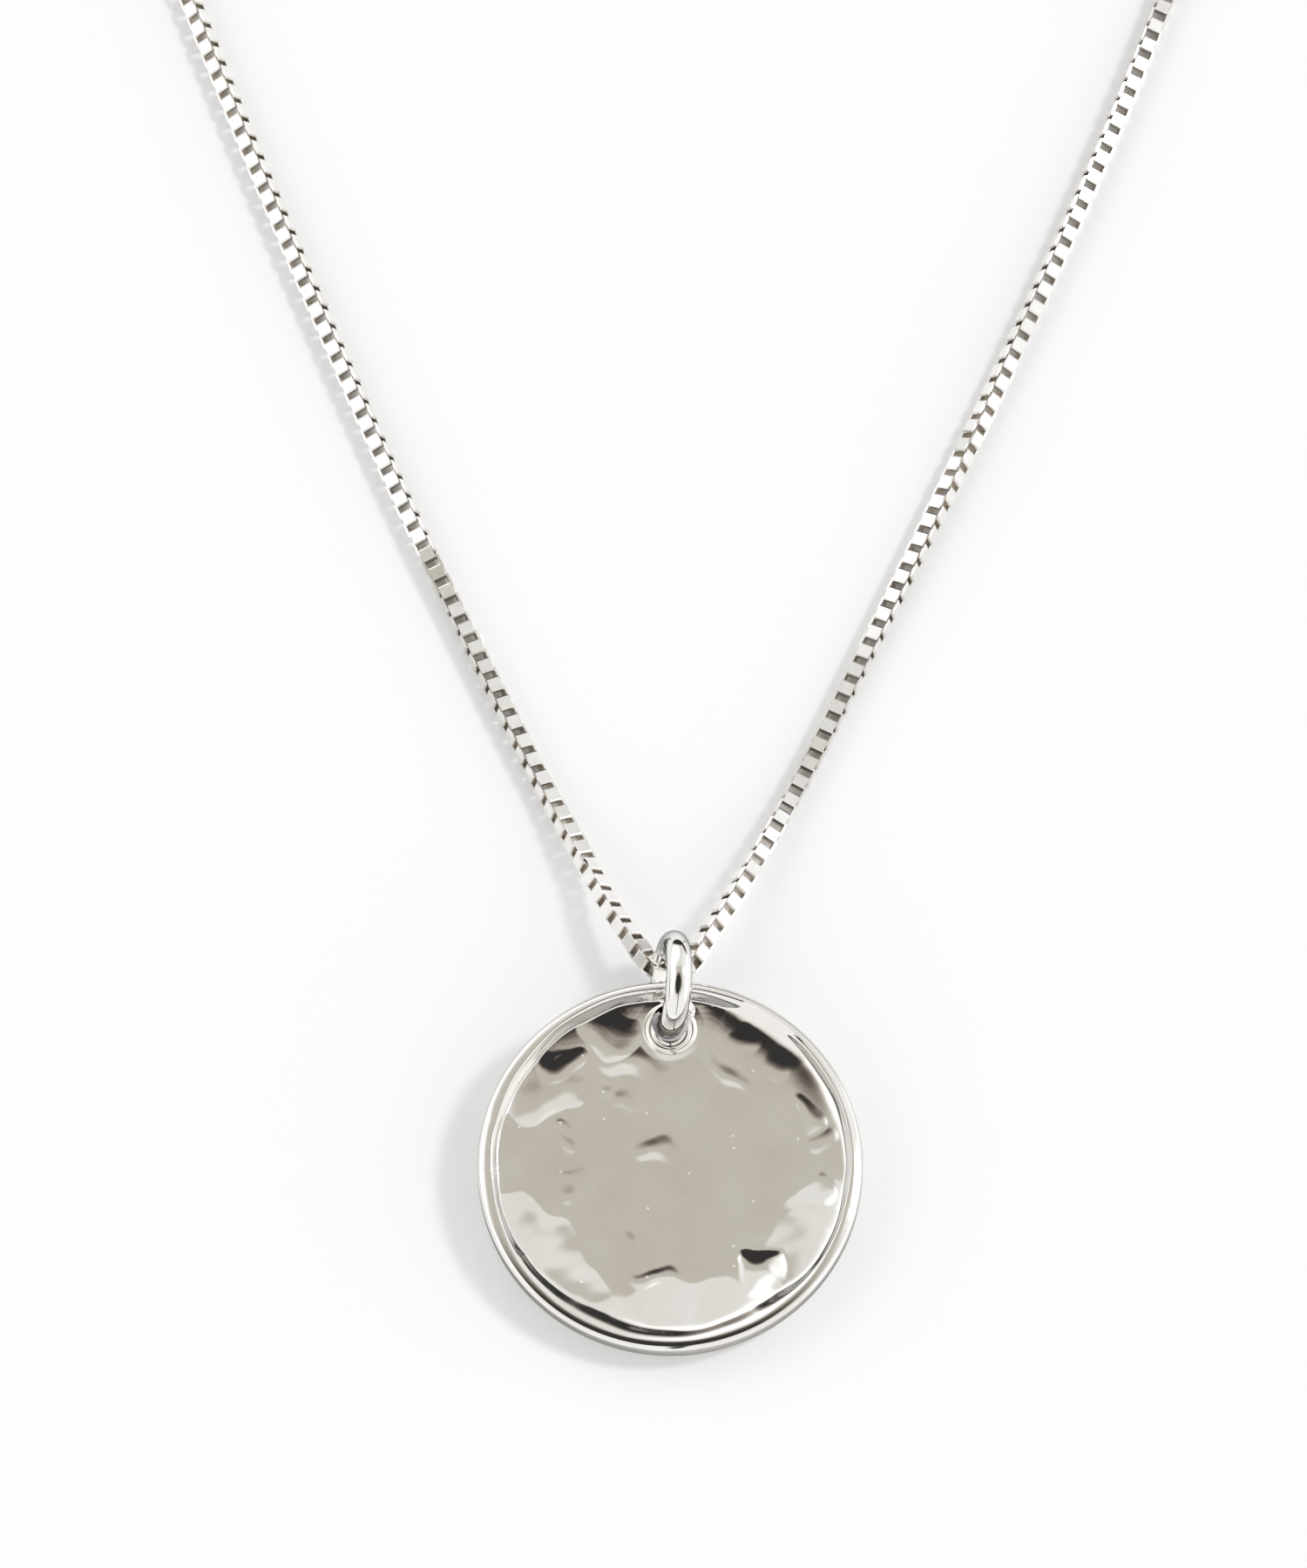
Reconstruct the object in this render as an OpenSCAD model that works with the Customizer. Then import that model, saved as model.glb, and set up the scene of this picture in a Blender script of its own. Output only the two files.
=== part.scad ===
// A coin necklace lying on a flat surface: a hammered silver coin with a raised rim,
// hung by a round jump ring from a fine box chain, whose ends meet in a plain clasp.
// Millimetres, +Z up from the surface, +Y from the coin towards the clasp.

/* [Coin] */
// Diameter of the coin
coin_d = 20; // [19.6:0.2:20.4]
// Thickness over the crest of the raised rim
rim_t = 1.95; // [1.85:0.05:2.05]
// Thickness in the middle of the hammered face
face_t = 1.15; // [1.05:0.05:1.25]
// Distance from the coin's edge in to the crest
crest_in = 0.7; // [0.6:0.05:0.8]
// How far the face climbs towards the rim, as in a shallow bowl
bowl_rise = 0.45; // [0.35:0.05:0.55]
// Depth of a full hammer dent
dent_depth = 0.12; // [0.05:0.01:0.16]
// Angle by which the jump ring under it props the coin's top edge
coin_tilt = 4.9; // [4.8:0.1:5]

/* [Hole] */
// Diameter of the drilled hole
hole_d = 1.9; // [1.85:0.05:1.95]
// Distance from the coin's centre to the hole's centre
hole_r = 8; // [7.95:0.05:8]
// Diameter of the countersink in the face
sink_d = 2.85; // [2.75:0.05:2.9]
// Distance from the coin's centre to the countersink's, which was cut a little low
sink_r = 7.6; // [7.55:0.05:7.65]
// Diameter of the countersink in the back
back_sink_d = 2.5; // [2.4:0.05:2.6]

/* [Jump ring] */
// Outer diameter of the ring
ring_d = 5.7; // [5.65:0.05:5.75]
// Diameter of the ring's wire
ring_wire = 1.35; // [1.25:0.05:1.35]
// Angle by which the standing ring leans to the right
ring_lean = 11.5; // [10:0.5:12]
// Distance from the coin's centre to the ring's centre, towards the clasp
ring_y = 9.85; // [9.8:0.05:9.9]
// Distance of the ring's centre to the right of the coin's centre
ring_x = 0.05; // [0:0.05:0.1]

/* [Chain] */
// Width of the chain over its box links
chain_w = 1; // [0.9:0.05:1]

/* [Clasp] */
// Outer diameter of the plain clasp ring
clasp_d = 5.6; // [5.4:0.1:5.8]
// Diameter of the clasp's wire
clasp_wire = 1; // [0.9:0.05:1]
// Outer diameter of the clasp's tail eyelet
eyelet_d = 2.4; // [2.4:0.05:2.5]
// Diameter of the eyelet's wire
eyelet_wire = 0.75; // [0.7:0.05:0.75]
// Outer diameter of each end ring
end_ring_d = 3.2; // [3.1:0.1:3.4]
// Diameter of an end ring's wire
end_ring_wire = 0.5; // [0.4:0.05:0.5]
// Outer diameter of the collar that grips the chain's end
collar_d = 1.8; // [1.7:0.05:1.9]
// Length of the collar
collar_l = 2.1; // [2:0.1:2.4]

/* [Hidden] */

// Place of the coin's centre, so that the whole loop is centred on the origin
coin_y = -95.5;
// Height above the back at which the edge is widest
edge_z = 0.9;
// Width of the round at the bottom of the edge
edge_in = 0.8;
// Radius at which the flat middle of the face starts to climb
bowl_r = 5.5;
// Radius at which the climb turns up into the rim
lip_r = 8.8;
// Depth of each countersink, and diameter of the front one at that depth
sink_l = 0.45;
sink_floor_d = 1;
coin_r = coin_d / 2;
crest_r = coin_r - crest_in;
// Height of the back's centre: the rounded bottom edge just touches the surface
coin_z = lowest_edge();

// Hammer dents: angle round the face from the right, distance from the centre,
// radius of the hammer's ball, and share of the full depth
DENTS = [
    [18, 7.3, 5, 1], [47, 7.6, 4, 1], [66, 7.0, 5, 0.8], [118, 7.2, 5, 0.9],
    [141, 7.4, 4, 1.2], [168, 7.3, 5, 1], [197, 7.2, 6, 0.9], [224, 7.1, 7, 1],
    [252, 7.3, 6, 0.9], [277, 7.2, 6, 0.8], [303, 7.3, 5, 1.1], [333, 7.2, 6, 1],
    [155, 3.9, 9, 0.5], [215, 3.6, 10, 0.5], [265, 4.9, 8, 0.6], [318, 4.7, 9, 0.5],
    [20, 4.2, 10, 0.5], [78, 3.8, 9, 0.5], [110, 0.9, 7, 0.4]
];

// Jump ring: radius of its wire's centre line and height of its centre
ring_c = (ring_d - ring_wire) / 2;
ring_z = ring_c * cos(ring_lean) + ring_wire / 2;

// Route of the chain's centre line from the coin's centre, from the clasp's tail
// round the left side, through the jump ring and back up the right side.
// Columns: x, y and height above the surface for a chain 1 mm wide.
ROUTE = [
    [-6.1, 198.2, 1.6], [-8, 198.2, 1.5], [-11, 198.1, 0.8], [-15, 197.4, 0.5], [-24.5, 194.5, 0.5],
    [-37.5, 184, 0.5], [-45.5, 169, 0.5], [-48, 151.5, 0.5], [-46, 134, 0.5], [-42, 117.5, 0.5],
    [-36.8, 100.5, 0.5], [-31.4, 84, 0.5], [-25.5, 67.3, 0.5], [-20.1, 53.1, 0.5], [-13.5, 37, 0.5],
    [-7.5, 23.8, 0.5], [-4.6, 17.9, 1.1], [-3.1, 14.6, 1.9], [-1.9, 12.5, 2.4], [-1, 11.1, 2.6],
    [0, 10.6, 2.7],
    [1, 11.1, 2.6], [1.9, 12.7, 2.4], [3.2, 15, 1.9], [4.7, 18, 1.1], [7.7, 24, 0.5],
    [14, 37.5, 0.5], [20.9, 53.3, 0.5], [26.4, 67.4, 0.5], [32, 84, 0.5], [37, 100.5, 0.5],
    [42, 117.5, 0.5], [46, 134, 0.5], [48, 151.5, 0.5], [45.5, 169, 0.5], [37.5, 184, 0.5],
    [24.5, 194.5, 0.5], [14.5, 197.4, 0.5], [10.5, 198.1, 0.8], [7.6, 198.2, 1.5], [5.75, 198.2, 1.6]
];
// Number of flat sides round the chain's outline
chain_sides = 8;
// Longest stretch of chain between two sections
chain_step = 7.5;

// Clasp: centre of its ring and height of its wire, on the chain's line at the back
clasp_x = 1.05;
clasp_y = 198.2;
clasp_z = 1.2;
clasp_c = (clasp_d - clasp_wire) / 2;
eyelet_c = (eyelet_d - eyelet_wire) / 2;
// Overlap that solders the eyelet to the clasp ring
solder = 0.4;
eyelet_x = clasp_x - clasp_d / 2 - eyelet_d / 2 + solder;

// End rings: play of the right one on the clasp's wire, radius of the wire's centre
// line, height, and places along the chain
end_slack = 0.2;
end_ring_c = (end_ring_d - end_ring_wire) / 2;
end_ring_z = end_ring_d / 2;
end_left_x = eyelet_x - end_ring_c;
end_right_x = clasp_x + clasp_c + end_slack;
// Diameter of the collar's socket, and the thickness of its closed end
socket_d = chain_w + 0.3;
collar_wall = 0.7;

// Height that lets the round bottom edge of the tilted coin touch the surface
function lowest_edge() =
    max([for (a = [0 : 5 : 90])
        (coin_r - edge_in + edge_in * sin(a)) * sin(coin_tilt)
        - (edge_z - edge_z * cos(a)) * cos(coin_tilt)]);

// Height of the face above the back at a distance r from the centre
function face_z(r) = face_t + bowl_rise * pow(max(0, r - bowl_r) / (lip_r - bowl_r), 2);

// Half section of the coin: round bottom edge, round outside of the rim, crest, bowl
function coin_section() = concat(
    [[0, 0]],
    [for (a = [0 : 15 : 90])
        [coin_r - edge_in + edge_in * sin(a), edge_z - edge_z * cos(a)]],
    [for (a = [15 : 15 : 90])
        [crest_r + crest_in * cos(a), edge_z + (rim_t - edge_z) * sin(a)]],
    [for (a = [30 : 30 : 90])
        [crest_r - (crest_r - lip_r) * sin(a), rim_t - (rim_t - face_z(lip_r)) * (1 - cos(a))]],
    [for (r = [7.7, 6.6, bowl_r, 0]) [r, face_z(r)]]
);

// A point on a smooth curve through b and c, with a and d as their neighbours
function curve(a, b, c, d, t) =
    b + (c - a) * t / 2
    + (2 * a - 5 * b + 4 * c - d) * t * t / 2
    + (3 * b - a - 3 * c + d) * t * t * t / 2;

// Sections along one stretch of the route
function stretch_steps(i) = max(1, ceil(norm(ROUTE[i + 1] - ROUTE[i]) / chain_step));

function low_limit(p) = [p.x, p.y, max(p.z, chain_w / 2)];

function stretch(i) =
    let (last = len(ROUTE) - 1,
         a = ROUTE[max(i - 1, 0)], b = ROUTE[i],
         c = ROUTE[i + 1], d = ROUTE[min(i + 2, last)],
         n = stretch_steps(i))
    [for (k = [0 : n - 1]) low_limit(curve(a, b, c, d, k / n))];

chain_line = concat(
    [for (i = [0 : len(ROUTE) - 2]) each stretch(i)],
    [ROUTE[len(ROUTE) - 1]]
);

function unit(v) = v / norm(v);

// Direction of a line of points at one of them
function heading(line, i) =
    unit(line[min(i + 1, len(line) - 1)] - line[max(i - 1, 0)]);

// Corners of the chain's outline round one point of its line, with flats below and above
function chain_ring(line, i) =
    let (along = heading(line, i),
         side = unit(cross([0, 0, 1], along)),
         up = cross(along, side),
         corner_r = chain_w / 2 / cos(180 / chain_sides))
    [for (k = [0 : chain_sides - 1])
        let (a = (k + 0.5) * 360 / chain_sides)
        line[i] + corner_r * (cos(a) * side + sin(a) * up)];

// A round wire bent into a closed ring about the Z axis
module wire_ring(centre_r, wire) {
    rotate_extrude($fn = 96)
        translate([centre_r, 0]) circle(d = wire, $fn = 48);
}

// The ball of one hammer blow, at its place over the face
module hammer_ball(dent) {
    depth = dent_depth * dent[3];
    rotate([0, 0, dent[0]])
        translate([dent[1], 0, face_z(dent[1]) + dent[2] - depth])
            sphere(r = dent[2], $fn = 96);
}

module hole_cutter() {
    top = face_z(sink_r);
    translate([0, hole_r, 0]) {
        translate([0, 0, -1]) cylinder(d = hole_d, h = rim_t + 2, $fn = 64);
        translate([0, 0, -0.01]) cylinder(d1 = back_sink_d, d2 = hole_d, h = sink_l, $fn = 64);
    }
    translate([0, sink_r, 0]) {
        translate([0, 0, top - sink_l]) cylinder(d1 = sink_floor_d, d2 = sink_d, h = sink_l, $fn = 64);
        translate([0, 0, top - 0.01]) cylinder(d = sink_d, h = rim_t, $fn = 64);
    }
}

module coin() {
    color("silver")
        translate([0, coin_y, coin_z]) rotate([coin_tilt, 0, 0])
            difference() {
                rotate_extrude($fn = 128) polygon(coin_section());
                for (dent = DENTS) hammer_ball(dent);
                hole_cutter();
            }
}

module jump_ring() {
    color("gainsboro")
        translate([ring_x, coin_y + ring_y, ring_z])
            rotate([0, 90 + ring_lean, 0]) wire_ring(ring_c, ring_wire);
}

module chain() {
    rings = [for (i = [0 : len(chain_line) - 1]) chain_ring(chain_line, i)];
    n = len(rings);
    sides = [for (i = [0 : n - 2], k = [0 : chain_sides - 1])
        let (a = i * chain_sides + k,
             b = i * chain_sides + (k + 1) % chain_sides)
        [a, a + chain_sides, b + chain_sides, b]];
    first = [for (k = [0 : chain_sides - 1]) k];
    last = [for (k = [0 : chain_sides - 1]) n * chain_sides - 1 - k];
    color("silver")
        translate([0, coin_y, 0])
            polyhedron(points = [for (r = rings) each r], faces = concat([first], sides, [last]));
}

// An upright ring soldered to a collar that points along +X and grips the chain
module end_ring() {
    rotate([90, 0, 0]) wire_ring(end_ring_c, end_ring_wire);
    translate([end_ring_c, 0, 0]) rotate([0, 90, 0])
        difference() {
            cylinder(d = collar_d, h = collar_l, $fn = 48);
            translate([0, 0, collar_wall]) cylinder(d = socket_d, h = collar_l, $fn = 48);
        }
}

module end_ring_left() {
    color("silver")
        translate([end_left_x, coin_y + clasp_y, end_ring_z]) mirror([1, 0, 0]) end_ring();
}

module end_ring_right() {
    color("silver")
        translate([end_right_x, coin_y + clasp_y, end_ring_z]) end_ring();
}

module clasp() {
    color("gainsboro")
        translate([0, coin_y + clasp_y, clasp_z]) {
            translate([clasp_x, 0, 0]) wire_ring(clasp_c, clasp_wire);
            translate([eyelet_x, 0, 0]) wire_ring(eyelet_c, eyelet_wire);
        }
}

coin();
jump_ring();
chain();
end_ring_left();
end_ring_right();
clasp();
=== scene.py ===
import math

import bpy
import numpy as np
from mathutils import Matrix, Vector


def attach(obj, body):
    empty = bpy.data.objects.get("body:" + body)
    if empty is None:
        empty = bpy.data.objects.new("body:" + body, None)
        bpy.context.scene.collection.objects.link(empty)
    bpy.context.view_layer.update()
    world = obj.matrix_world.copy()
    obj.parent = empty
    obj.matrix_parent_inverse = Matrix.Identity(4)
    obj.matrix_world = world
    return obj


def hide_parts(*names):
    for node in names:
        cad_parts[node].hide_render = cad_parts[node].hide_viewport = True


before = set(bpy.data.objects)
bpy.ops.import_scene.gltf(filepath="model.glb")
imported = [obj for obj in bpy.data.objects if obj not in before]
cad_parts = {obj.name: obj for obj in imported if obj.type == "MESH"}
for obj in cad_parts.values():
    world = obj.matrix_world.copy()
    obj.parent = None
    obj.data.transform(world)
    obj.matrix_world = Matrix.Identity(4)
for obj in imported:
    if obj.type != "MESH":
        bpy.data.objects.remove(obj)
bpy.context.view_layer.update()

# The finished coin necklace: a hammered silver coin on a jump ring and a box chain, lying
# on a pale surface in the light of a studio. Sizes are in millimetres, as in the part's
# source, and become metres in the meshes.
MM = 0.001

# The coin, as the part has it: its radius, place and tilt, the heights of the rim and of
# the face in the middle, the height and depth of the round bottom edge, and how far out
# the face begins to climb
COIN_R = 10.0
COIN_Y = -95.5
COIN_TILT = math.radians(4.9)
RIM_T = 1.95
FACE_T = 1.15
EDGE_Z = 0.9
EDGE_IN = 0.8
BOWL_R = 5.5

# The rim: how far out the climb of the face is counted, the round at the top of the
# outside, how tightly the inner wall rounds over the crest and meets the face, and how
# far the crest wanders
CREST_R = 9.45
OUTER_ROUND = 0.33
WALL_ROUND = 0.2
WALL_FOOT = 0.07
WOBBLE = 0.024

# Slight unevenness of the whole face, and finer unevenness where it climbs at the top:
# how far up and how far out this begins, each with the run over which it grows
UNEVEN = 0.006
FINE_UNEVEN = 0.0006
FINE_UP = (3.0, 3.0)
FINE_OUT = (7.0, 1.2)

# How far the outlines of the blows wander, in long waves and in short ones
WANDER = 0.24
SHORT_WANDER = 0.03

# The hole near the coin's top: the drilled part, the countersink, which was cut a little
# low, the countersink in the back, the collar raised round it and the tool's fine turns
HOLE_Y = 8.0
HOLE_R = 0.95
SINK_Y = 7.6
SINK_R = 1.425
SINK_FLOOR_R = 0.5
SINK_DEPTH = 0.45
BACK_SINK_R = 1.25
COLLAR_R = 3.0
COLLAR_RUN = 0.35
COLLAR_DROP = 1.2
COLLAR_RISE = 0.03
TURN_PITCH = 0.3
TURN_RISE = 0.012

# How finely the coin is drawn: points in a ring round it, steps along the face, fine near
# the hole and in the band by the rim, and rings over the crest, the outer round, the
# bottom edge, the back and the countersink, and the bend in degrees past which an edge
# stays crisp
SIDES = 420
NEAR_HOLE_STEP = 0.06
FACE_STEP = 0.12
RIM_BAND = 1.2
RIM_BAND_RINGS = 26
CREST_RINGS = 5
ROUND_RINGS = 10
EDGE_RINGS = 9
BACK_RINGS = 10
SINK_RINGS = 30
SHARP_EDGE = 40

# The jump ring, as the part has it: how wide the ring and its wire are, its place and its
# lean to the right, the points along it and round its wire, and the bend in degrees past
# which an edge stays crisp
RING_WIDTH = 5.7
WIRE_WIDTH = 1.35
RING_X = 0.05
RING_Y = COIN_Y + 9.85
RING_LEAN = math.radians(11.5)
WIRE_R = WIRE_WIDTH / 2
RING_R = (RING_WIDTH - WIRE_WIDTH) / 2
RING_CENTRE = (RING_X, RING_Y, RING_R * math.cos(RING_LEAN) + WIRE_R)
RING_SIDES = 160
WIRE_SIDES = 48
WIRE_SHARP_EDGE = 60

# The box chain: every link is a strip bent into a box, turned a quarter from the last.
# The ends of a link are partly tarnished, and it clears the surface a little.
LINK_PITCH = 0.588
LINK_LENGTH = 0.88
LINK_WIDTH = 0.98
STRIP_WIDTH = 0.7
STRIP_T = 0.13
LINK_CORNER = 0.06
END_TARNISH = 0.7
LINK_CLEARANCE = 0.005

# Route of the chain's centre line from the coin's centre, from the clasp's tail round
# the left side, through the jump ring and back up the right side: x, y and height. The
# apex is the row inside the jump ring. The line is drawn in steps of about the last value.
ROUTE = [
    (-6.1, 198.2, 1.6), (-8, 198.2, 1.5), (-11, 198.1, 0.8), (-15, 197.4, 0.5), (-24.5, 194.5, 0.5),
    (-37.5, 184, 0.5), (-45.5, 169, 0.5), (-48, 151.5, 0.5), (-46, 134, 0.5), (-42, 117.5, 0.5),
    (-36.8, 100.5, 0.5), (-31.4, 84, 0.5), (-25.5, 67.3, 0.5), (-20.1, 53.1, 0.5), (-13.5, 37, 0.5),
    (-7.5, 23.8, 0.5), (-4.6, 17.9, 1.1), (-3.1, 14.6, 1.9), (-1.9, 12.5, 2.4), (-1, 11.1, 2.6),
    (0, 10.6, 2.7),
    (1, 11.1, 2.6), (1.9, 12.7, 2.4), (3.2, 15, 1.9), (4.7, 18, 1.1), (7.7, 24, 0.5),
    (14, 37.5, 0.5), (20.9, 53.3, 0.5), (26.4, 67.4, 0.5), (32, 84, 0.5), (37, 100.5, 0.5),
    (42, 117.5, 0.5), (46, 134, 0.5), (48, 151.5, 0.5), (45.5, 169, 0.5), (37.5, 184, 0.5),
    (24.5, 194.5, 0.5), (14.5, 197.4, 0.5), (10.5, 198.1, 0.8), (7.6, 198.2, 1.5), (5.75, 198.2, 1.6),
]
APEX = 20
ROUTE_STEP = 0.2

# How far the links lean to the right-hand side of the way along the chain, in degrees,
# at distances along it from the jump ring: before it on the left, after it on the right
LINK_LEAN = [
    (-190, 60), (-120, 75), (-80, 50), (-57, 36), (-39, 28), (-30, 25), (-26, 4), (-19, -14),
    (-12, -21), (-8.6, -23), (-8, -41), (-2, -41), (0, -42), (3, -48), (9, -68), (14, -82),
    (22, -98), (30, -108), (35, -128), (41, -150), (56, -158), (90, -200), (140, -230), (200, -215),
]


# Camera: a long lens far away, with the nearest and farthest that it sees in metres

PHOTO_PIXELS_WIDE = 1500
SENSOR_WIDTH = 36.0
FOCAL_PIXELS = 22100
CAMERA_PLACE = (-0.86, -460.45, 932.87)
CAMERA_ELEVATION = math.radians(67.454)
CAMERA_NEAR = 0.05
CAMERA_FAR = 20


def make_camera():
    """The photograph's view: steeply down, from the coin's end."""
    lens = bpy.data.cameras.new("camera")
    lens.sensor_fit = "HORIZONTAL"
    lens.sensor_width = SENSOR_WIDTH
    lens.lens = FOCAL_PIXELS / PHOTO_PIXELS_WIDE * SENSOR_WIDTH
    lens.clip_start = CAMERA_NEAR
    lens.clip_end = CAMERA_FAR
    camera = bpy.data.objects.new("camera", lens)
    bpy.context.collection.objects.link(camera)
    camera.location = Vector(CAMERA_PLACE) * MM
    camera.rotation_euler = (math.pi / 2 - CAMERA_ELEVATION, 0, 0)
    bpy.context.scene.camera = camera


# Node trees

def add(tree, kind, inputs=None, **settings):
    """Adds a node to a tree, with its settings and its inputs: values, or sockets to link."""
    made = tree.nodes.new(kind)
    for name, value in settings.items():
        setattr(made, name, value)
    for key, value in (inputs or {}).items():
        if isinstance(value, bpy.types.NodeSocket):
            tree.links.new(value, made.inputs[key])
        else:
            made.inputs[key].default_value = value
    return made


def maths(tree, operation, *values):
    """The result of a Math node."""
    return add(tree, "ShaderNodeMath", dict(enumerate(values)), operation=operation).outputs[0]


def mixed(tree, factor, low, high):
    """A colour between low and high, by the colour sockets of a Mix node."""
    node = add(tree, "ShaderNodeMix", {"Factor": factor}, data_type="RGBA")
    for socket, value in zip(node.inputs[6:8], (low, high)):
        if isinstance(value, bpy.types.NodeSocket):
            tree.links.new(value, socket)
        else:
            socket.default_value = (*value, 1)
    return node.outputs[2]


def length(tree, x, y):
    """The distance that goes x one way and y the other."""
    squares = maths(tree, "ADD", maths(tree, "MULTIPLY", x, x), maths(tree, "MULTIPLY", y, y))
    return maths(tree, "SQRT", squares)


def eased(tree, value, start, end):
    """0 at start and 1 at end, with a smooth step between them and no change beyond."""
    node = add(tree, "ShaderNodeMapRange", {"Value": value, "From Min": start, "From Max": end},
               interpolation_type="SMOOTHSTEP")
    return node.outputs[0]


# Studio light: a sky with soft panels, drawn on the disc that the sky makes when it is
# seen from below: its middle is straight overhead and its edge, at 1, is the horizon

# The ceiling overhead, the walls at the sides, with where the one passes into the other,
# and the ground, with how softly the horizon passes into it
CEILING = (0.55, 0.52, 0.465)
WALLS = (0.93, 0.92, 0.9)
CEILING_EDGE = (0.3, 0.5)
GROUND = (0.9, 0.9, 0.9)
HORIZON_SOFT = 0.01

# Panels and dark places of the studio: centre and half size on the disc, softness of the
# edge as a share of the size, and brightness. Each one covers those before it.
PANELS = [
    ((0.0, 0.62), (0.95, 0.455), 0.06, (0.78, 0.77, 0.74)),
    ((-0.3, 0.5), (0.35, 0.25), 0.2, (1.25, 1.25, 1.24)),
    ((0.62, 0.2), (0.4, 0.5), 0.15, (0.9, 0.9, 0.89)),
    ((0.85, 0.1), (0.3, 0.6), 0.15, (1.4, 1.4, 1.4)),
    ((-0.55, 0.15), (0.3, 0.45), 0.15, (1.15, 1.15, 1.14)),
    ((0.03, -0.62), (0.035, 0.42), 0.15, (0.05, 0.05, 0.05)),
    ((-0.04, -0.15), (0.24, 0.2), 0.2, (0.16, 0.13, 0.11)),
    ((-0.04, -0.17), (0.21, 0.18), 0.15, (0.035, 0.034, 0.033)),
    ((0.0, 1.0), (0.66, 0.3), 0.08, (0.45, 0.4, 0.36)),
    ((0.64, 0.88), (0.36, 0.28), 0.08, (0.45, 0.4, 0.36)),
    ((0.0, 1.0), (0.62, 0.26), 0.1, (0.03, 0.03, 0.03)),
    ((0.64, 0.88), (0.33, 0.24), 0.12, (0.03, 0.03, 0.03)),
    ((-1.0, 0.1), (0.13, 0.4), 0.15, (0.2, 0.2, 0.2)),
]

# The key lamp on the right: where it stands, how wide it looks, and its strength
KEY_HEIGHT = math.radians(48)
KEY_SIDE = math.radians(15)
KEY_WIDTH = math.radians(11)
KEY_STRENGTH = 0.75


def panel(tree, a, b, centre, half, soft):
    """1 inside an ellipse on the sky's disc, falling to 0 over its soft edge."""
    across = maths(tree, "DIVIDE", maths(tree, "SUBTRACT", a, centre[0]), half[0])
    up = maths(tree, "DIVIDE", maths(tree, "SUBTRACT", b, centre[1]), half[1])
    return eased(tree, length(tree, across, up), 1 + soft, 1 - soft)


def make_sky():
    """The studio's light, from every direction of the sky."""
    world = bpy.data.worlds.new("studio")
    bpy.context.scene.world = world
    world.use_nodes = True
    tree = world.node_tree
    tree.nodes.clear()
    look = add(tree, "ShaderNodeTexCoord").outputs["Generated"]
    x, y, z = add(tree, "ShaderNodeSeparateXYZ", {0: look}).outputs
    above = maths(tree, "ADD", maths(tree, "MAXIMUM", z, 0.0), 1.0)
    a = maths(tree, "DIVIDE", x, above)
    b = maths(tree, "DIVIDE", y, above)
    colour = mixed(tree, eased(tree, length(tree, a, b), *CEILING_EDGE), CEILING, WALLS)
    for centre, half, soft, light in PANELS:
        colour = mixed(tree, panel(tree, a, b, centre, half, soft), colour, light)
    colour = mixed(tree, eased(tree, z, 0.0, -HORIZON_SOFT), colour, GROUND)
    back = add(tree, "ShaderNodeBackground", {"Color": colour, "Strength": 1.0})
    add(tree, "ShaderNodeOutputWorld", {"Surface": back.outputs[0]})


def make_key():
    """The key lamp, whose light casts the soft shadows to the left."""
    lamp = bpy.data.lights.new("key", "SUN")
    lamp.energy = KEY_STRENGTH
    lamp.angle = KEY_WIDTH
    key = bpy.data.objects.new("key", lamp)
    bpy.context.collection.objects.link(key)
    key.rotation_euler = (0, math.pi / 2 - KEY_HEIGHT, KEY_SIDE)


# The floor: half its width in metres, its colour, its faint glow, and its dull finish
FLOOR_HALF = 4.0
FLOOR_COLOUR = (0.935, 0.94, 0.95, 1)
FLOOR_GLOW = 0.11
FLOOR_ROUGHNESS = 0.7
FLOOR_GLOSS = 0.2


def make_floor():
    """The pale surface that the necklace lies on."""
    mesh = bpy.data.meshes.new("floor")
    corners = [(x * FLOOR_HALF, y * FLOOR_HALF, 0) for x, y in ((-1, -1), (1, -1), (1, 1), (-1, 1))]
    mesh.from_pydata(corners, [], [(0, 1, 2, 3)])
    floor = bpy.data.objects.new("floor", mesh)
    bpy.context.collection.objects.link(floor)
    material = bpy.data.materials.new("pale_floor")
    material.use_nodes = True
    shader = material.node_tree.nodes["Principled BSDF"]
    shader.inputs["Base Color"].default_value = FLOOR_COLOUR
    shader.inputs["Emission Color"].default_value = (1, 1, 1, 1)
    shader.inputs["Emission Strength"].default_value = FLOOR_GLOW
    shader.inputs["Roughness"].default_value = FLOOR_ROUGHNESS
    shader.inputs["Specular IOR Level"].default_value = FLOOR_GLOSS
    mesh.materials.append(material)


# Silver

# Tones of the coin, the wire and the chain's strip, from their darker to their lighter
# places, and the strip's where it is tarnished
COIN_TONES = ((0.90, 0.88, 0.85), (0.95, 0.94, 0.92))
WIRE_TONES = ((0.92, 0.91, 0.895), (0.965, 0.96, 0.95))
STRIP_TONES = ((0.90, 0.89, 0.87), (0.97, 0.965, 0.955))
TARNISH_TONES = ((0.52, 0.465, 0.4), (0.7, 0.64, 0.57))

# Reflection of the coin and the jump ring at grazing angles: it draws thin grey outlines
EDGE_TINT = (0.4, 0.4, 0.4, 1)

# Roughness of the coin where it is bright, and how much rougher it is where worn or in a
# speck, and of the strip where it is bright, and how much rougher where tarnished
COIN_ROUGHNESS = 0.05
WORN_ROUGHER = 0.06
SPECK_ROUGHER = 0.5
STRIP_ROUGHNESS = 0.12
TARNISH_ROUGHER = 0.22

# Specks on the coin's face: cells to the millimetre, each with room for one, its radius in
# cells, the share of cells left without one, and how far from the centre they reach
SPECK_CELLS = 0.9
SPECK_R = 0.065
SPECK_FREE = 0.87
SPECK_REACH = 9.3

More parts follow.
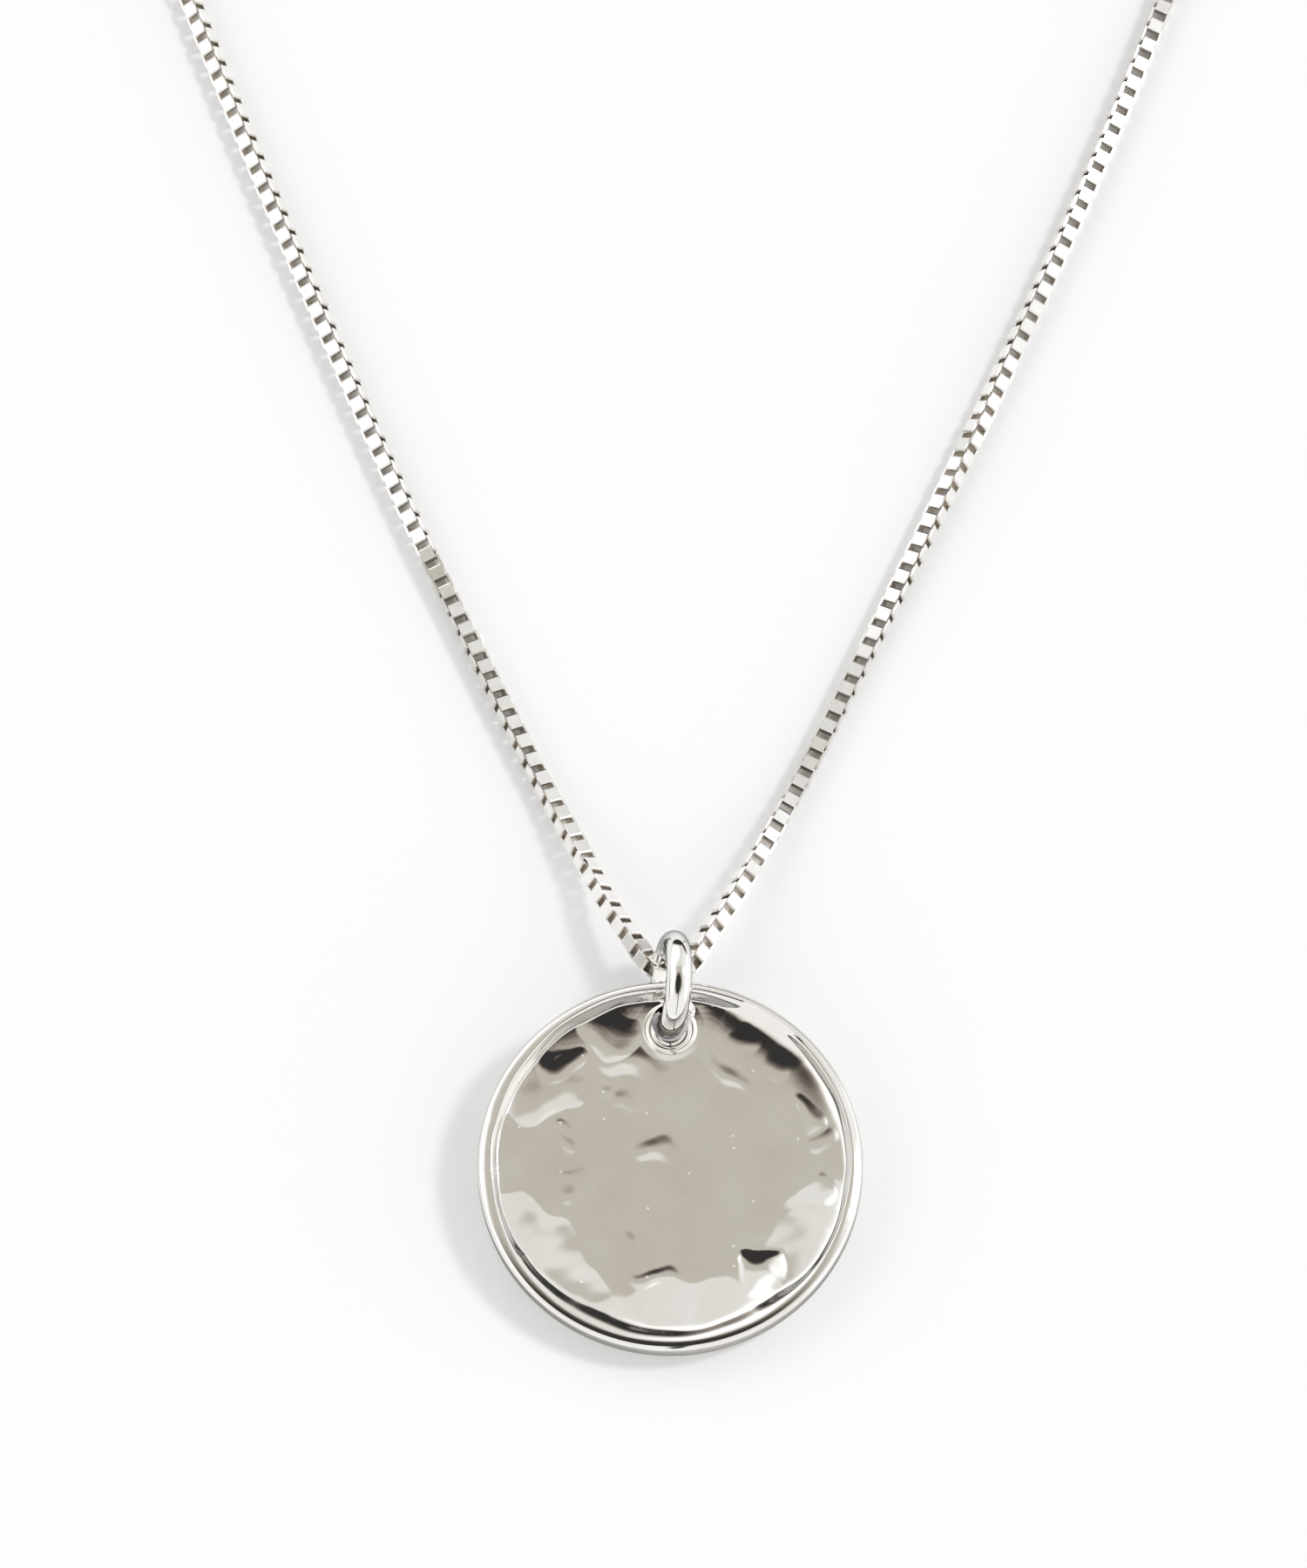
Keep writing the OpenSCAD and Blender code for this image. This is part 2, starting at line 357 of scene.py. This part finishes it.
# Noise of each kind, as waves to the millimetre and levels of detail: soft patches of
# tone, wear, and fine grain
COIN_PATCHES = (0.35, 3)
WIRE_PATCHES = (0.8, 3)
STRIP_PATCHES = (1.1, 2)
COIN_WEAR = (1.3, 4)
COIN_GRAIN = (14, 3)
WIRE_GRAIN = (9, 3)
STRIP_GRAIN = (12, 2)

# The noise at which a patch or a worn place begins, and at which it is full
PATCH_EDGE = (0.3, 0.7)
WEAR_EDGE = (0.35, 0.75)

# Height of the fine relief on each metal in millimetres, how much of it the coin's grain
# has beside a speck, and how strongly the wire's and the strip's shows
COIN_RELIEF = 0.016
GRAIN_SHARE = 0.05
WIRE_RELIEF = 0.003
WIRE_RELIEF_SHOWS = 0.1
STRIP_RELIEF = 0.004
STRIP_RELIEF_SHOWS = 0.15


def new_silver(name, colour, roughness):
    """A polished metal and its tree, with Object coordinates in millimetres.

    A pattern that is linked to its colour or its roughness takes the plain one's place."""
    material = bpy.data.materials.new(name)
    material.use_nodes = True
    tree = material.node_tree
    shader = tree.nodes["Principled BSDF"]
    shader.inputs["Base Color"].default_value = (*colour, 1)
    shader.inputs["Metallic"].default_value = 1.0
    shader.inputs["Roughness"].default_value = roughness
    place = add(tree, "ShaderNodeTexCoord").outputs["Object"]
    place = add(tree, "ShaderNodeMapping",
                {"Vector": place, "Scale": (1 / MM, 1 / MM, 1 / MM)}).outputs[0]
    return material, tree, shader, place


def noise(tree, place, kind):
    """Even noise from 0 to 1, of one of the kinds above."""
    waves, detail = kind
    node = add(tree, "ShaderNodeTexNoise", {"Vector": place, "Scale": waves, "Detail": detail})
    return node.outputs["Fac"]


def toned(tree, place, kind, *tones):
    """Colours between a darker and a lighter tone, in soft patches; one for each pair."""
    patches = eased(tree, noise(tree, place, kind), *PATCH_EDGE)
    return [mixed(tree, patches, *pair) for pair in tones]


def bumped(tree, shader, height, strength, relief):
    """Fine relief on the shader's surface, as high as the given millimetres."""
    bump = add(tree, "ShaderNodeBump", {"Height": height, "Strength": strength, "Distance": relief * MM})
    tree.links.new(bump.outputs[0], shader.inputs["Normal"])


def speckles(tree, place):
    """1 in a few small round specks on the coin's face and 0 elsewhere."""
    x, y = add(tree, "ShaderNodeSeparateXYZ", {0: place}).outputs[:2]
    far = length(tree, x, maths(tree, "SUBTRACT", y, COIN_Y))
    cells = add(tree, "ShaderNodeTexVoronoi", {"Vector": place, "Scale": SPECK_CELLS}, feature="F1",
                voronoi_dimensions="2D").outputs
    near = maths(tree, "LESS_THAN", cells["Distance"], SPECK_R)
    draw = add(tree, "ShaderNodeSeparateColor", {0: cells["Color"]}).outputs[0]
    chosen = maths(tree, "GREATER_THAN", draw, SPECK_FREE)
    on_face = maths(tree, "LESS_THAN", far, SPECK_REACH)
    return maths(tree, "MULTIPLY", near, maths(tree, "MULTIPLY", chosen, on_face))


def coin_silver():
    """Hand-polished silver: a little uneven in tone and gloss, with fine wear and specks."""
    material, tree, shader, place = new_silver("hammered_silver", (0.93, 0.915, 0.89), 0.06)
    shader.inputs["Specular Tint"].default_value = EDGE_TINT
    [tone] = toned(tree, place, COIN_PATCHES, COIN_TONES)
    tree.links.new(tone, shader.inputs["Base Color"])
    speck = speckles(tree, place)
    worn = eased(tree, noise(tree, place, COIN_WEAR), *WEAR_EDGE)
    rough = maths(tree, "ADD", maths(tree, "MULTIPLY", worn, WORN_ROUGHER), COIN_ROUGHNESS)
    rough = maths(tree, "MULTIPLY_ADD", speck, SPECK_ROUGHER, rough)
    tree.links.new(rough, shader.inputs["Roughness"])
    grain = maths(tree, "MULTIPLY", noise(tree, place, COIN_GRAIN), GRAIN_SHARE)
    bumped(tree, shader, maths(tree, "ADD", grain, speck), 1.0, COIN_RELIEF)
    return material


def ring_silver():
    """Bright drawn wire with a faint grain round it."""
    material, tree, shader, place = new_silver("polished_wire", (0.95, 0.94, 0.925), 0.06)
    shader.inputs["Specular Tint"].default_value = EDGE_TINT
    [tone] = toned(tree, place, WIRE_PATCHES, WIRE_TONES)
    tree.links.new(tone, shader.inputs["Base Color"])
    bumped(tree, shader, noise(tree, place, WIRE_GRAIN), WIRE_RELIEF_SHOWS, WIRE_RELIEF)
    return material


def chain_silver():
    """Rolled strip, bright outside and dark with tarnish where the links turn inwards."""
    material, tree, shader, place = new_silver("rolled_strip", (0.94, 0.93, 0.91), 0.14)
    bright, dull = toned(tree, place, STRIP_PATCHES, STRIP_TONES, TARNISH_TONES)
    tarnish = add(tree, "ShaderNodeAttribute", attribute_name="tarnish").outputs["Fac"]
    tree.links.new(mixed(tree, tarnish, bright, dull), shader.inputs["Base Color"])
    rough = maths(tree, "MULTIPLY_ADD", tarnish, TARNISH_ROUGHER, STRIP_ROUGHNESS)
    tree.links.new(rough, shader.inputs["Roughness"])
    bumped(tree, shader, noise(tree, place, STRIP_GRAIN), STRIP_RELIEF_SHOWS, STRIP_RELIEF)
    return material


# Meshes

def make_piece(name, mesh, material, node):
    """A finished piece on the part's one body, in place of the CAD node named."""
    piece = bpy.data.objects.new(name, mesh)
    bpy.context.collection.objects.link(piece)
    mesh.materials.clear()
    mesh.materials.append(material)
    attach(piece, "root")
    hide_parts(node)


def loft(name, rings, sharp):
    """A closed skin over rings of points, in millimetres, whose last ring joins the first.

    Edges that bend by more than sharp, in degrees, stay crisp."""
    count, sides = rings.shape[:2]
    index = np.arange(count * sides).reshape(count, sides)
    ahead = np.roll(index, -1, axis=0)
    faces = np.stack([index, np.roll(index, -1, axis=1), np.roll(ahead, -1, axis=1), ahead], axis=-1)
    mesh = bpy.data.meshes.new(name)
    mesh.from_pydata((rings.reshape(-1, 3) * MM).tolist(), [], faces.reshape(-1, 4).tolist())
    mesh.shade_smooth()
    mesh.set_sharp_from_angle(angle=math.radians(sharp))
    mesh.validate()
    return mesh


# The coin's face

# The rim at angles round the coin from the right: how far the face has climbed by the
# rim, the power of that climb, the crest's radius, the flat inside it, the radius of the
# round outside it, the slope in degrees that this round ends with, and the steepness of
# the inner wall
RIM_COLUMNS = ("angle", "climb", "power", "crest", "flat", "broad", "bend", "steep")
RIM = [
    (0, 0.25, 5, 9.47, 0.05, 0.3, 18, 4),
    (20, 0.4, 6, 9.52, 0.05, 0.3, 18, 4),
    (40, 0.5, 6, 9.58, 0.05, 0.3, 16, 3),
    (49, 0.72, 6, 9.6, 0.05, 0.3, 12, 2),
    (64, 0.72, 6, 9.63, 0.04, 0.3, 11, 1.7),
    (72, 0.3, 6, 9.65, 0.04, 0.3, 10, 1.8),
    (80, 0.1, 5, 9.67, 0.03, 0.3, 8, 2.2),
    (92, 0.1, 5, 9.65, 0.035, 0.35, 7.5, 2.2),
    (105, 0.2, 4, 9.63, 0.04, 0.4, 7, 2.2),
    (120, 0.2, 4, 9.6, 0.05, 0.5, 6, 2.2),
    (150, 0.2, 4, 9.5, 0.1, 1.5, 5, 4),
    (165, 0.2, 4, 9.42, 0.12, 0.8, 15, 5),
    (190, 0.18, 4, 9.42, 0.12, 0.8, 15, 4),
    (212, 0.12, 4, 9.54, 0.08, 0.5, 8, 1),
    (235, 0.1, 4, 9.58, 0.06, 0.4, 7, 0.8),
    (250, 0.24, 2.6, 9.6, 0.05, 0.3, 7, 0.74),
    (280, 0.32, 2, 9.61, 0.05, 0.3, 7, 0.7),
    (300, 0.32, 2.2, 9.61, 0.05, 0.3, 8, 0.72),
    (322, 0.36, 3, 9.56, 0.08, 0.4, 12, 1.3),
    (345, 0.35, 4, 9.46, 0.06, 0.3, 18, 3.5),
    (360, 0.25, 5, 9.47, 0.05, 0.3, 18, 4),
]

# Hammer marks: place on the face, half length, half width, turn of the long side in
# degrees, depth, which is negative for a swell that the blows left standing, the power
# that shapes the edge, 1 for a crisp one, less for a steeper one and 2 for one that fades
# out, and how much deeper the mark is on its upper side
MARKS = [
    (-6.5, 4.5, 2.5, 1.8, 36, 0.14, 1, -0.2),
    (-5.6, 5.5, 1.4, 0.85, 15, 0.06, 1, 0.3),
    (-3.1, 7.35, 1.9, 1.35, -8, 0.1, 1, -0.2),
    (3.7, 6.9, 1.0, 0.6, -40, 0.03, 1, 0),
    (5.6, 5.6, 0.9, 0.5, -50, 0.03, 1, 0),
    (3.2, 5.1, 1.9, 0.8, -45, 0.038, 2, -1),
    (-2.4, 6.1, 2.6, 1.15, -24, 0.07, 2, -0.9),
    (7.2, 2.9, 1.0, 0.7, -60, 0.06, 1, 0),
    (7.9, 1.5, 0.8, 0.6, -60, 0.04, 1, 0),
    (8.6, -4.2, 3.6, 3.6, 0, -0.16, 1, 0),
    (6.5, -4.7, 2.5, 2.4, 0, -0.07, 1, 0),
    (7.9, -1.2, 0.6, 0.8, 10, 0.06, 1, -0.5),
    (4.85, -5.6, 1.45, 1.25, 20, 0.15, 0.7, 1),
    (1.2, -9.4, 6.0, 3.4, 0, -0.17, 1, 0),
    (-0.7, -6.0, 1.4, 0.5, -3, 0.03, 0.6, 0.5),
    (-8.0, -6.2, 5.6, 4.0, -50, -0.3, 1, 0),
    (-0.7, 0.9, 1.5, 0.8, -12, 0.05, 2, 0),
    (-3.3, 4.2, 0.7, 0.6, 0, 0.02, 2, 0),
    (-5.35, 2.2, 0.5, 0.35, 0, 0.02, 1, 0),
    (-5.3, -0.2, 1.0, 0.4, -10, 0.012, 2, 0),
    (-2.3, -4.2, 0.5, 0.7, 0, 0.02, 2, 0),
    (-2.4, 3.6, 1.2, 0.7, 10, 0.03, 2, -0.5),
    (-5.2, -1.4, 0.8, 0.8, 0, 0.03, 2, -0.6),
    (-5.4, 1.5, 0.7, 0.6, 0, 0.025, 2, -0.6),
]


def rim_at(turn, *names):
    """The rim's measures of those names at an angle in radians."""
    rows = dict(zip(RIM_COLUMNS, np.array(RIM, float).T))
    return [np.interp(np.degrees(turn) % 360, rows["angle"], rows[name]) for name in names]


def bowl(x, y):
    """Height of the unmarked face: flat in the middle, climbing towards the rim."""
    climb, power = rim_at(np.arctan2(y, x), "climb", "power")
    out = np.maximum(0, np.hypot(x, y) - BOWL_R) / (CREST_R - BOWL_R)
    return FACE_T + climb * out ** power


def ramp(value, start, run):
    """0 up to start, then a straight climb over the run to 1."""
    return np.clip((value - start) / run, 0, 1)


def wander(x, y):
    """Shifts points a little, so that the blows' outlines wander as hand work does."""
    dx = WANDER * np.sin(1.9 * y + 0.7 * x + 1.0) + SHORT_WANDER * np.sin(5.3 * y - 2.1 * x + 2)
    dy = WANDER * np.sin(2.1 * x - 0.8 * y + 0.4) + SHORT_WANDER * np.sin(4.7 * x + 2.9 * y + 1)
    return x + dx, y + dy


def marks(x, y):
    """Depth of all hammer marks together, with a slight unevenness over the whole face."""
    x, y = wander(x, y)
    depth = UNEVEN * np.sin(2.3 * x + 0.9 * y) * np.sin(1.7 * y - 0.6 * x + 0.5)
    top = ramp(y, *FINE_UP) * ramp(np.hypot(x, y), *FINE_OUT)
    depth += FINE_UNEVEN * top * np.sin(13 * x + 4 * y) * np.sin(14 * y - 6 * x + 1)
    for mx, my, long, short, turn, deep, fade, lean in MARKS:
        c, s = math.cos(math.radians(turn)), math.sin(math.radians(turn))
        u = ((x - mx) * c + (y - my) * s) / long
        v = (-(x - mx) * s + (y - my) * c) / short
        depth += deep * np.maximum(0, 1 - u * u - v * v) ** fade * (1 + lean * v)
    return depth


def rim_inside(x, y):
    """Height of the rim's inner side: a rounded crest, then a wall falling to the face."""
    turn = np.arctan2(y, x)
    crest, flat, steep = rim_at(turn, "crest", "flat", "steep")
    crest = crest + WOBBLE * (np.sin(7 * turn) + 0.6 * np.sin(17 * turn + 1))
    inward = np.maximum(0, crest - flat - np.hypot(x, y))
    return RIM_T - steep * (np.sqrt(inward ** 2 + WALL_ROUND ** 2) - WALL_ROUND)


def face_height(x, y):
    """Height of the finished face: the hammered bowl, the collar round the hole, the rim."""
    face = bowl(x, y) - marks(x, y)
    near = np.hypot(x, y - SINK_Y)
    face += COLLAR_RISE * ramp(near, SINK_R, COLLAR_RUN) * ramp(COLLAR_R - near, 0, COLLAR_DROP)
    wall = rim_inside(x, y)
    return (face + wall + np.sqrt((face - wall) ** 2 + WALL_FOOT ** 2)) / 2


def rim_outside(turn):
    """The rim outside its crest at angles round it: radius and height at each step."""
    crest, broad, bend = rim_at(turn, "crest", "broad", "bend")
    bend = np.radians(bend)
    s, c = np.sin(bend), np.cos(bend)
    run = np.maximum(0, COIN_R - crest - broad * s - OUTER_ROUND * (1 - s))
    steps = [(crest + broad * np.sin(t * bend), RIM_T - broad * (1 - np.cos(t * bend)))
             for t in np.linspace(0, 1, CREST_RINGS)[1:]]
    start = RIM_T - broad * (1 - c) - run * s / c
    for t in np.linspace(0, 1, ROUND_RINGS):
        slope = bend + (math.pi / 2 - bend) * t
        radius = COIN_R - OUTER_ROUND * (1 - np.sin(slope))
        steps.append((radius, start - OUTER_ROUND * (c - np.cos(slope))))
    for t in np.linspace(math.pi / 2, 0, EDGE_RINGS):
        height = np.full_like(crest, EDGE_Z * (1 - math.cos(t)))
        steps.append((COIN_R - EDGE_IN + EDGE_IN * math.sin(t), height))
    return steps


# Angles of the points in each ring round the coin
TURN = np.linspace(0, 2 * math.pi, SIDES, endpoint=False)


def circle(centre_y, radius):
    """Points round a centre; the radius may differ from point to point."""
    return radius * np.cos(TURN), centre_y + radius * np.sin(TURN)


def between(share, inner, outer):
    """A circle on the way from the inner one, at share 0, to the outer, at share 1."""
    (y0, r0), (y1, r1) = inner, outer
    return circle(y0 + (y1 - y0) * share, r0 + (r1 - r0) * share)


def sink_height(x, y):
    """Height inside the countersink, with the fine turns that the tool left."""
    near = np.hypot(x, y - SINK_Y)
    edge = face_height(np.array(0.0), np.array(SINK_Y - SINK_R))
    cone = edge - SINK_DEPTH * (SINK_R - near) / (SINK_R - SINK_FLOOR_R)
    inside = ramp(SINK_R - near, 0, TURN_PITCH)
    return cone + TURN_RISE * inside * np.sin(2 * math.pi * near / TURN_PITCH)


def coin_rings():
    """Rings of points from the hole over the face, round the rim and back under the coin."""
    sink = (SINK_Y, SINK_R)
    [crest] = rim_at(TURN, "crest")
    # The steps are counted where the way from the hole to the crest is longest, straight down
    reach = CREST_R - SINK_R + SINK_Y
    steps = np.concatenate([
        np.arange(0, 1, NEAR_HOLE_STEP),
        np.arange(1, reach - RIM_BAND, FACE_STEP),
        np.linspace(reach - RIM_BAND, reach, RIM_BAND_RINGS),
    ])
    rings = []
    for share in steps / reach:
        x, y = between(share, sink, (0, crest))
        rings.append((x, y, face_height(x, y)))
    for radius, height in rim_outside(TURN):
        x, y = circle(0, radius)
        rings.append((x, y, height))
    for share in np.linspace(1, 0, BACK_RINGS)[1:]:
        x, y = between(share, (HOLE_Y, BACK_SINK_R), (0, COIN_R - EDGE_IN))
        rings.append((x, y, np.zeros(SIDES)))
    x, y = circle(HOLE_Y, HOLE_R)
    rings.append((x, y, np.full(SIDES, SINK_DEPTH)))
    for share in np.linspace(0, 1, SINK_RINGS)[:-1]:
        x, y = between(share, (HOLE_Y, HOLE_R), sink)
        rings.append((x, y, sink_height(x, y)))
    return np.stack([np.stack(ring, axis=-1) for ring in rings])


def lowest_edge():
    """Height that lets the round bottom edge of the tilted coin touch the surface."""
    turn = np.radians(np.arange(0, 91, 5))
    reach = COIN_R - EDGE_IN + EDGE_IN * np.sin(turn)
    return max(reach * math.sin(COIN_TILT) - (EDGE_Z - EDGE_Z * np.cos(turn)) * math.cos(COIN_TILT))


def make_coin(material):
    """The coin, tilted up at its hole, with its low edge on the surface."""
    rings = coin_rings()
    y, z = rings[..., 1].copy(), rings[..., 2].copy()
    rings[..., 1] = y * math.cos(COIN_TILT) - z * math.sin(COIN_TILT) + COIN_Y
    rings[..., 2] = y * math.sin(COIN_TILT) + z * math.cos(COIN_TILT) + lowest_edge()
    mesh = loft("hammered_coin", rings[::-1], SHARP_EDGE)
    make_piece("hammered_coin", mesh, material, "coin")


# The jump ring

def make_jump_ring(material):
    """The ring of round wire, standing in the hole and leaning to the right."""
    lean = Matrix.Translation(RING_CENTRE) @ Matrix.Rotation(math.pi / 2 + RING_LEAN, 4, "Y")
    round_wire = np.linspace(0, 2 * math.pi, WIRE_SIDES, endpoint=False)
    reach = RING_R + WIRE_R * np.cos(round_wire)
    rings = []
    for turn in np.linspace(0, 2 * math.pi, RING_SIDES, endpoint=False):
        rings.append([lean @ Vector((r * math.cos(turn), r * math.sin(turn), h))
                      for r, h in zip(reach, WIRE_R * np.sin(round_wire))])
    mesh = loft("polished_jump_ring", np.array(rings)[::-1], WIRE_SHARP_EDGE)
    make_piece("polished_jump_ring", mesh, material, "jump_ring")


# The chain

def chain_line():
    """Close points along the route, a smooth curve through its points as in the part."""
    route = np.array(ROUTE, float)
    last = len(route) - 1
    points = []
    apex = 0
    for i in range(last):
        a, b, c, d = (route[k] for k in (max(i - 1, 0), i, i + 1, min(i + 2, last)))
        if i == APEX:
            apex = len(points)
        for t in np.arange(0, 1, 1 / max(4, math.ceil(np.linalg.norm(c - b) / ROUTE_STEP))):
            points.append(b + (c - a) * t / 2 + (2 * a - 5 * b + 4 * c - d) * t * t / 2
                          + (3 * b - a - 3 * c + d) * t ** 3 / 2)
    points.append(route[last])
    points = np.array(points)
    along = np.concatenate([[0], np.cumsum(np.linalg.norm(np.diff(points, axis=0), axis=1))])
    return points, along - along[apex]


def link_rest(lean):
    """Height of a link's centre when it rests on the surface with that lean."""
    c, s = np.abs(np.cos(lean)), np.abs(np.sin(lean))
    return np.maximum(LINK_WIDTH * c + STRIP_WIDTH * s, LINK_WIDTH * s + STRIP_WIDTH * c) / 2


def make_route():
    """The chain's line as a mesh of edges, with the lean of the links at each point."""
    points, along = chain_line()
    lean = np.radians(np.interp(along, *np.array(LINK_LEAN, float).T))
    points[:, 2] = np.maximum(points[:, 2], link_rest(lean) + LINK_CLEARANCE)
    points[:, 1] += COIN_Y
    mesh = bpy.data.meshes.new("chain_route")
    mesh.from_pydata((points * MM).tolist(), [(i, i + 1) for i in range(len(points) - 1)], [])
    mesh.attributes.new("lean", "FLOAT", "POINT").data.foreach_set("value", lean)
    route = bpy.data.objects.new("chain_route", mesh)
    bpy.context.collection.objects.link(route)
    return route


def link_tree():
    """Box links along a line: each a bent strip, every other one turned a quarter."""
    tree = bpy.data.node_groups.new("box_links", "GeometryNodeTree")
    tree.interface.new_socket("Geometry", in_out="INPUT", socket_type="NodeSocketGeometry")
    for name in ("Pitch", "Link Length", "Link Width", "Strip Width", "Strip Thickness", "Corner"):
        tree.interface.new_socket(name, in_out="INPUT", socket_type="NodeSocketFloat")
    tree.interface.new_socket("Silver", in_out="INPUT", socket_type="NodeSocketMaterial")
    tree.interface.new_socket("Geometry", in_out="OUTPUT", socket_type="NodeSocketGeometry")
    given = add(tree, "NodeGroupInput").outputs
    path = add(tree, "GeometryNodeMeshToCurve", {"Mesh": given["Geometry"]}).outputs[0]
    path = add(tree, "GeometryNodeResampleCurve", {"Curve": path, "Length": given["Pitch"]},
               mode="LENGTH").outputs[0]
    box = add(tree, "GeometryNodeCurvePrimitiveQuadrilateral", {
        "Width": maths(tree, "SUBTRACT", given["Link Length"], given["Strip Thickness"]),
        "Height": maths(tree, "SUBTRACT", given["Link Width"], given["Strip Thickness"]),
    }).outputs[0]
    box = add(tree, "GeometryNodeFilletCurve", {"Curve": box, "Radius": given["Corner"], "Count": 2},
              mode="POLY").outputs[0]
    strip = add(tree, "GeometryNodeCurvePrimitiveQuadrilateral",
                {"Width": given["Strip Thickness"], "Height": given["Strip Width"]}).outputs[0]
    link = add(tree, "GeometryNodeCurveToMesh", {"Curve": box, "Profile Curve": strip}).outputs[0]
    # Faces that look towards the link's middle are tarnished, and its two ends partly
    place = add(tree, "GeometryNodeInputPosition").outputs[0]
    out = add(tree, "GeometryNodeInputNormal").outputs[0]
    outward = add(tree, "ShaderNodeVectorMath", {0: place, 1: out},
                  operation="DOT_PRODUCT").outputs["Value"]
    endways = maths(tree, "ABSOLUTE", add(tree, "ShaderNodeSeparateXYZ", {0: out}).outputs[0])
    inner = maths(tree, "LESS_THAN", outward, 0.0)
    dark = maths(tree, "MAXIMUM", inner, maths(tree, "MULTIPLY", endways, END_TARNISH))
    link = add(tree, "GeometryNodeStoreNamedAttribute",
               {"Geometry": link, "Name": "tarnish", "Value": dark},
               data_type="FLOAT", domain="FACE").outputs[0]
    link = add(tree, "GeometryNodeTransform",
               {"Geometry": link, "Rotation": (math.pi / 2, 0, 0)}).outputs[0]
    # Each link lies along the line, turned by the lean there and every other one a quarter
    facing = add(tree, "FunctionNodeAxesToRotation",
                 {0: add(tree, "GeometryNodeInputTangent").outputs[0], 1: (0, 0, 1)},
                 primary_axis="X", secondary_axis="Z").outputs[0]
    lean = add(tree, "GeometryNodeInputNamedAttribute", {"Name": "lean"}, data_type="FLOAT")
    odd = maths(tree, "MODULO", add(tree, "GeometryNodeInputIndex").outputs[0], 2.0)
    turn = maths(tree, "ADD", lean.outputs["Attribute"], maths(tree, "MULTIPLY", odd, math.pi / 2))
    rolled = add(tree, "FunctionNodeAxisAngleToRotation", {"Axis": (1, 0, 0), "Angle": turn}).outputs[0]
    facing = add(tree, "FunctionNodeRotateRotation", {0: facing, 1: rolled},
                 rotation_space="LOCAL").outputs[0]
    links = add(tree, "GeometryNodeInstanceOnPoints",
                {"Points": path, "Instance": link, "Rotation": facing}).outputs[0]
    links = add(tree, "GeometryNodeRealizeInstances", {"Geometry": links}).outputs[0]
    links = add(tree, "GeometryNodeSetMaterial",
                {"Geometry": links, "Material": given["Silver"]}).outputs[0]
    add(tree, "NodeGroupOutput", {"Geometry": links})
    return tree


def set_inputs(modifier, values):
    """Sets a Geometry Nodes modifier's inputs by their identifiers."""
    for item in modifier.node_group.interface.items_tree:
        if item.in_out == "INPUT" and item.name in values:
            modifier[item.identifier] = values[item.name]


def make_chain(material):
    """The box chain: the links that the tree sets along the route, as one plain mesh."""
    route = make_route()
    modifier = route.modifiers.new("links", "NODES")
    modifier.node_group = link_tree()
    set_inputs(modifier, {
        "Pitch": LINK_PITCH * MM, "Link Length": LINK_LENGTH * MM, "Link Width": LINK_WIDTH * MM,
        "Strip Width": STRIP_WIDTH * MM, "Strip Thickness": STRIP_T * MM, "Corner": LINK_CORNER * MM,
        "Silver": material,
    })
    dressed = route.evaluated_get(bpy.context.evaluated_depsgraph_get())
    mesh = bpy.data.meshes.new_from_object(dressed)
    route.modifiers.clear()
    bpy.data.objects.remove(route)
    mesh.name = "box_chain"
    mesh.shade_flat()
    make_piece("box_chain", mesh, material, "chain")


# Scene

def set_colours():
    """Shows the render's colours as they are."""
    view = bpy.context.scene.view_settings
    view.view_transform = "Standard"
    view.look = "None"
    view.exposure = 0
    view.gamma = 1


def dress(node, material):
    """Gives a kept CAD node its finish."""
    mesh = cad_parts[node].data
    mesh.materials.clear()
    mesh.materials.append(material)


make_camera()
make_sky()
make_key()
make_floor()
set_colours()
wire = ring_silver()
strip_metal = chain_silver()
make_coin(coin_silver())
make_jump_ring(wire)
make_chain(strip_metal)
dress("clasp", wire)
dress("end_ring_left", strip_metal)
dress("end_ring_right", strip_metal)
